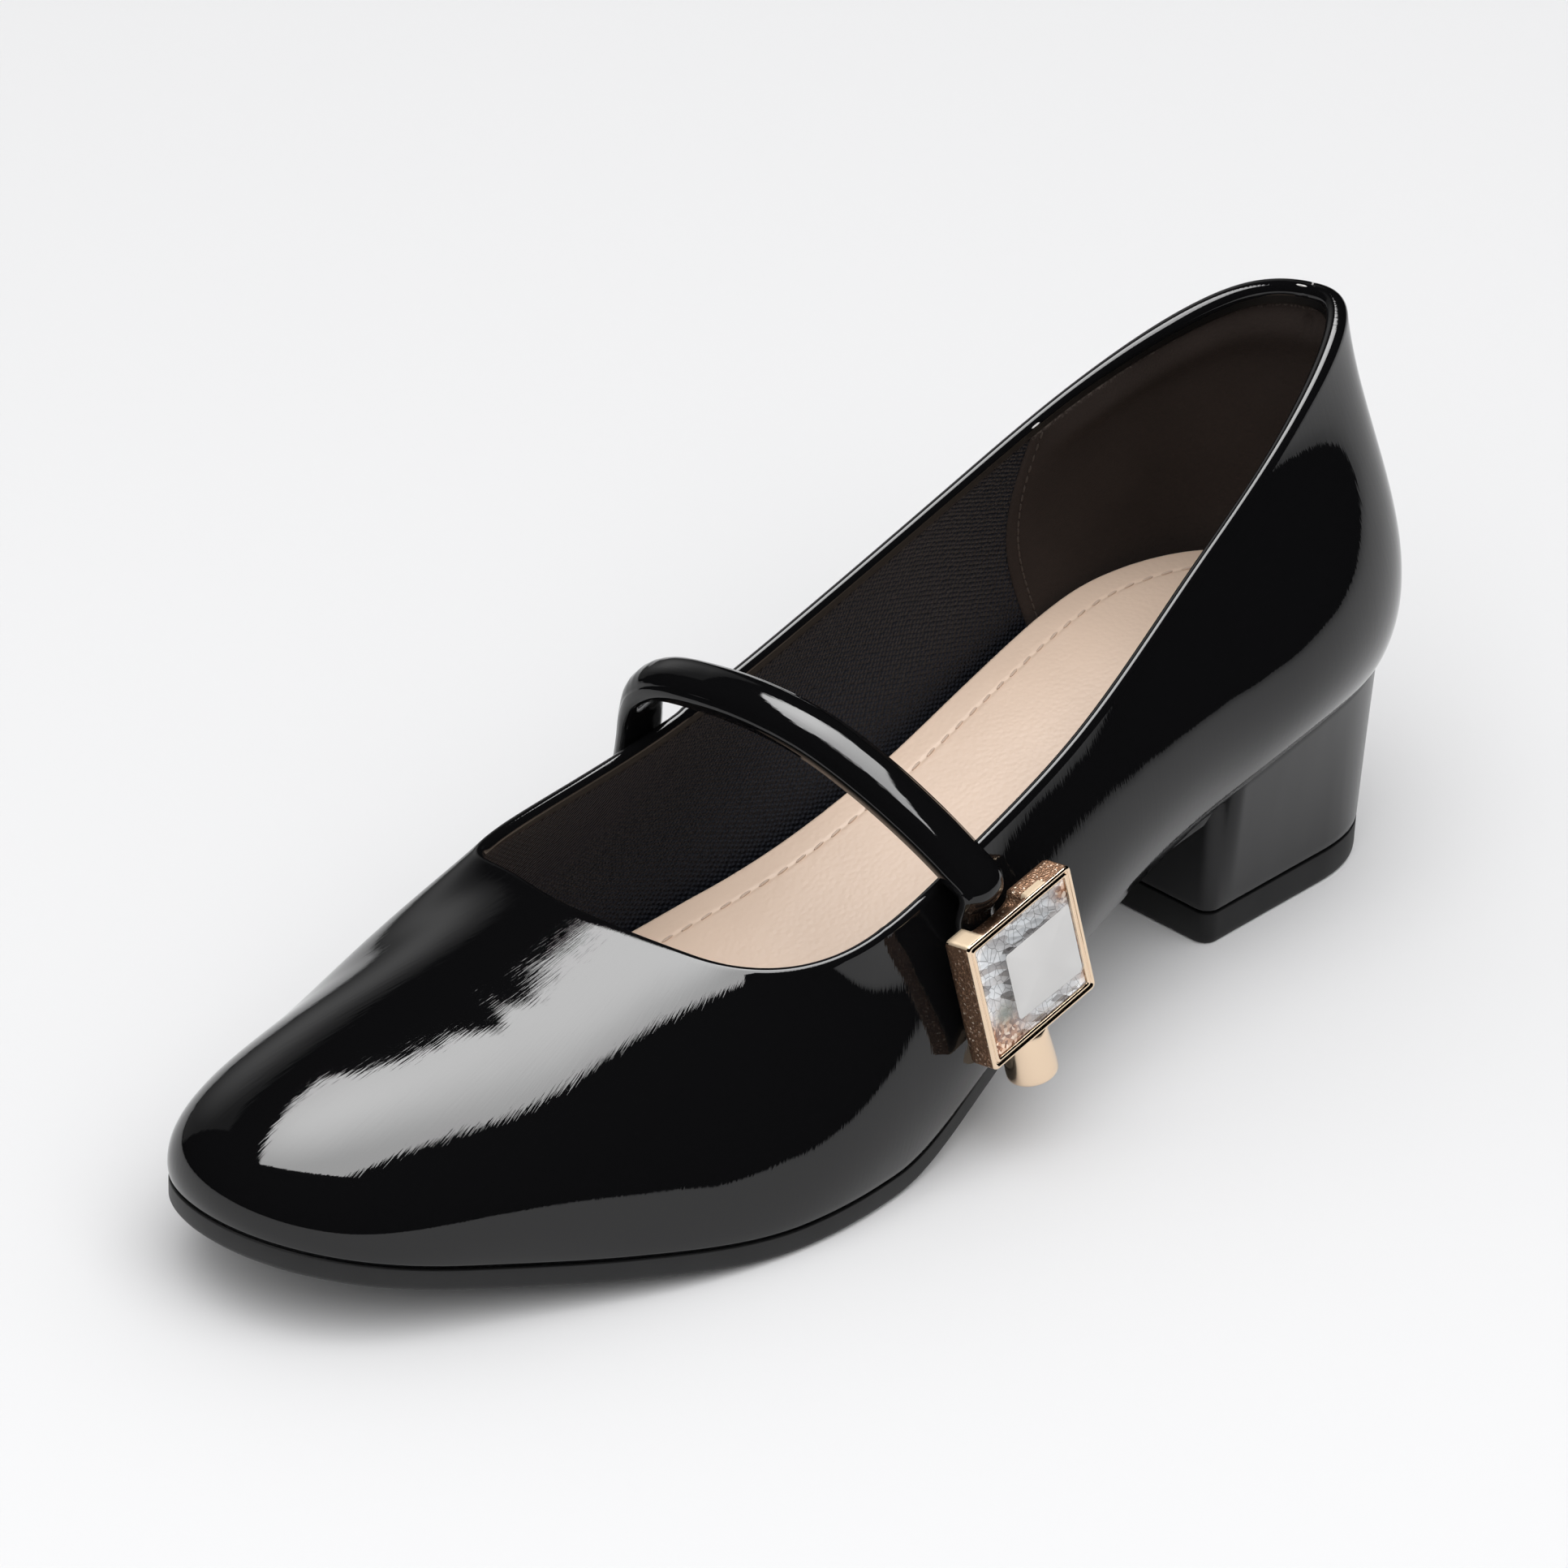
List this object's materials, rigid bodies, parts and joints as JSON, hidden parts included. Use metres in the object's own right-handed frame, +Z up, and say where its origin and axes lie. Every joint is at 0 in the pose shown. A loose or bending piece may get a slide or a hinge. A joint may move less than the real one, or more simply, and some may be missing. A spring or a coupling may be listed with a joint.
{
  "type": "mary jane pump",
  "caption": "Left mary jane pump with a square toe, a low block heel, one rounded strap and a framed stone on the outer side.",
  "frame": {"origin": "middle of the heel's base, on the plane the shoe stands on", "axes": "+X to the toe, +Y to the outer side, where the framed stone is, +Z up"},
  "size_m": [0.2445, 0.0918, 0.0957],
  "materials": {
    "upper": "black patent, mirror gloss",
    "outsole": "black, satin",
    "heel": "black, covered, semi-gloss",
    "top_piece": "black, matte",
    "insole": "nude, matte, fine grain",
    "strap": "black patent, mirror gloss",
    "buckle": "pale rose gold, polished",
    "stone": "clear, faceted"
  },
  "bodies": {
    "root": {"upper": "upper", "outsole": "outsole", "heel_block": "heel", "heel_top_piece": "top_piece", "insole": "insole", "strap": "strap", "buckle_frame": "buckle", "buckle_stone": "stone", "buckle_stem": "buckle"}
  },
  "joints": []
}
